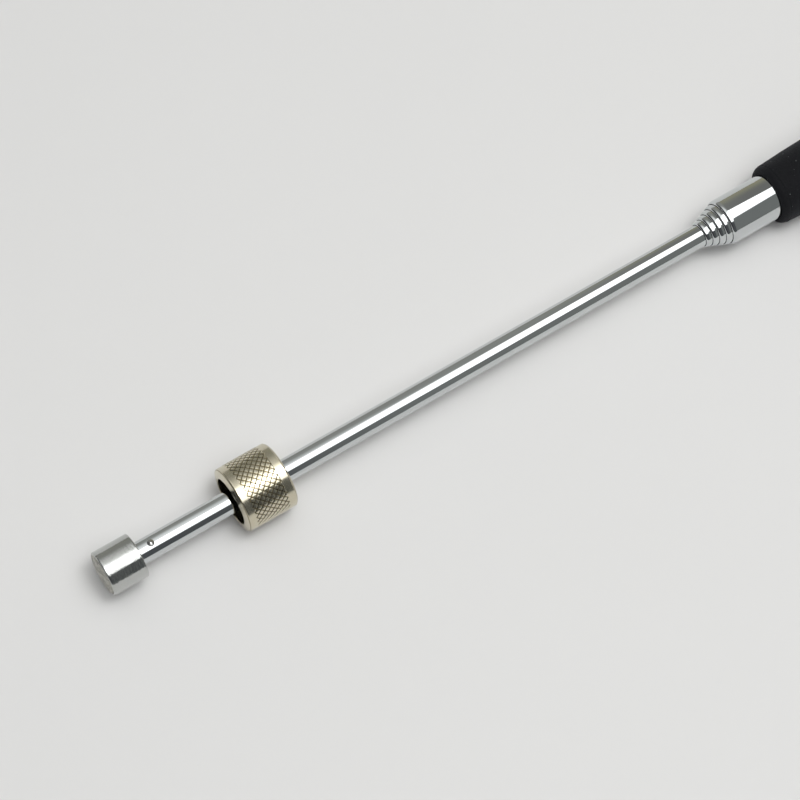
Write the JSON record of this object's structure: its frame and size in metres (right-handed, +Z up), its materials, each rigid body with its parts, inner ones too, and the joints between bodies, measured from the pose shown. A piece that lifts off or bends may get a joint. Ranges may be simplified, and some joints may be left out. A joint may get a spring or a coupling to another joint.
{
  "type": "telescoping magnetic pickup tool",
  "caption": "Pocket pickup tool: a disc magnet on a telescoping chrome rod, with a knurled sliding shield cup and a foam grip.",
  "frame": {"origin": "centre of the magnet's working face, on the tool's axis", "axes": "+X along the tool from the magnet to the handle, +Z up as the tool lies on a table; the magnet faces -X"},
  "size_m": [0.265, 0.0154, 0.0154],
  "materials": {
    "magnet": "ground magnet face, slightly mottled",
    "cup": "bright turned",
    "steel": "plain turned steel",
    "chrome": "polished chrome plate",
    "spring": "phosphor bronze strip",
    "nickel": "knurled, warm nickel plate",
    "foam": "matte closed-cell foam"
  },
  "bodies": {
    "handle": {"handle_tube": "chrome", "foam_grip": "foam", "end_plug": "chrome"},
    "springs_5": {"friction_spring_5_top": "spring", "friction_spring_5_bottom": "spring"},
    "section_5": {"section_5_tube": "chrome"},
    "springs_4": {"friction_spring_4_top": "spring", "friction_spring_4_bottom": "spring"},
    "section_4": {"section_4_tube": "chrome"},
    "springs_3": {"friction_spring_3_top": "spring", "friction_spring_3_bottom": "spring"},
    "section_3": {"section_3_tube": "chrome"},
    "springs_2": {"friction_spring_2_top": "spring", "friction_spring_2_bottom": "spring"},
    "section_2": {"section_2_tube": "chrome"},
    "springs_1": {"friction_spring_1_top": "spring", "friction_spring_1_bottom": "spring"},
    "rod": {"rod_tube": "chrome", "magnet": "magnet", "magnet_back_plate": "steel", "magnet_cup": "cup", "head_stem": "steel", "head_pin": "steel"},
    "collar": {"shield_collar": "nickel"}
  },
  "joints": [
    {"name": "section_5_slide", "type": "slide", "parent": "handle", "child": "springs_5", "axis": [-1, 0, 0], "range_m": [0, 0.0961]},
    {"name": "section_5_swivel", "type": "hinge", "parent": "springs_5", "child": "section_5", "pos_m": [0.2, 0, 0], "axis": [1, 0, 0], "continuous": true},
    {"name": "section_4_slide", "type": "slide", "parent": "section_5", "child": "springs_4", "axis": [-1, 0, 0], "range_m": [0, 0.09693]},
    {"name": "section_4_swivel", "type": "hinge", "parent": "springs_4", "child": "section_4", "pos_m": [0.2, 0, 0], "axis": [1, 0, 0], "continuous": true},
    {"name": "section_3_slide", "type": "slide", "parent": "section_4", "child": "springs_3", "axis": [-1, 0, 0], "range_m": [0, 0.09776]},
    {"name": "section_3_swivel", "type": "hinge", "parent": "springs_3", "child": "section_3", "pos_m": [0.2, 0, 0], "axis": [1, 0, 0], "continuous": true},
    {"name": "section_2_slide", "type": "slide", "parent": "section_3", "child": "springs_2", "axis": [-1, 0, 0], "range_m": [0, 0.09859]},
    {"name": "section_2_swivel", "type": "hinge", "parent": "springs_2", "child": "section_2", "pos_m": [0.2, 0, 0], "axis": [1, 0, 0], "continuous": true},
    {"name": "rod_slide", "type": "slide", "parent": "section_2", "child": "springs_1", "axis": [-1, 0, 0], "range_m": [-0.0994, 0]},
    {"name": "rod_swivel", "type": "hinge", "parent": "springs_1", "child": "rod", "pos_m": [0.149, 0, 0], "axis": [1, 0, 0], "continuous": true},
    {"name": "collar_slide", "type": "slide", "parent": "rod", "child": "collar", "axis": [-1, 0, 0], "range_m": [-0.0025, 0.0289]}
  ]
}
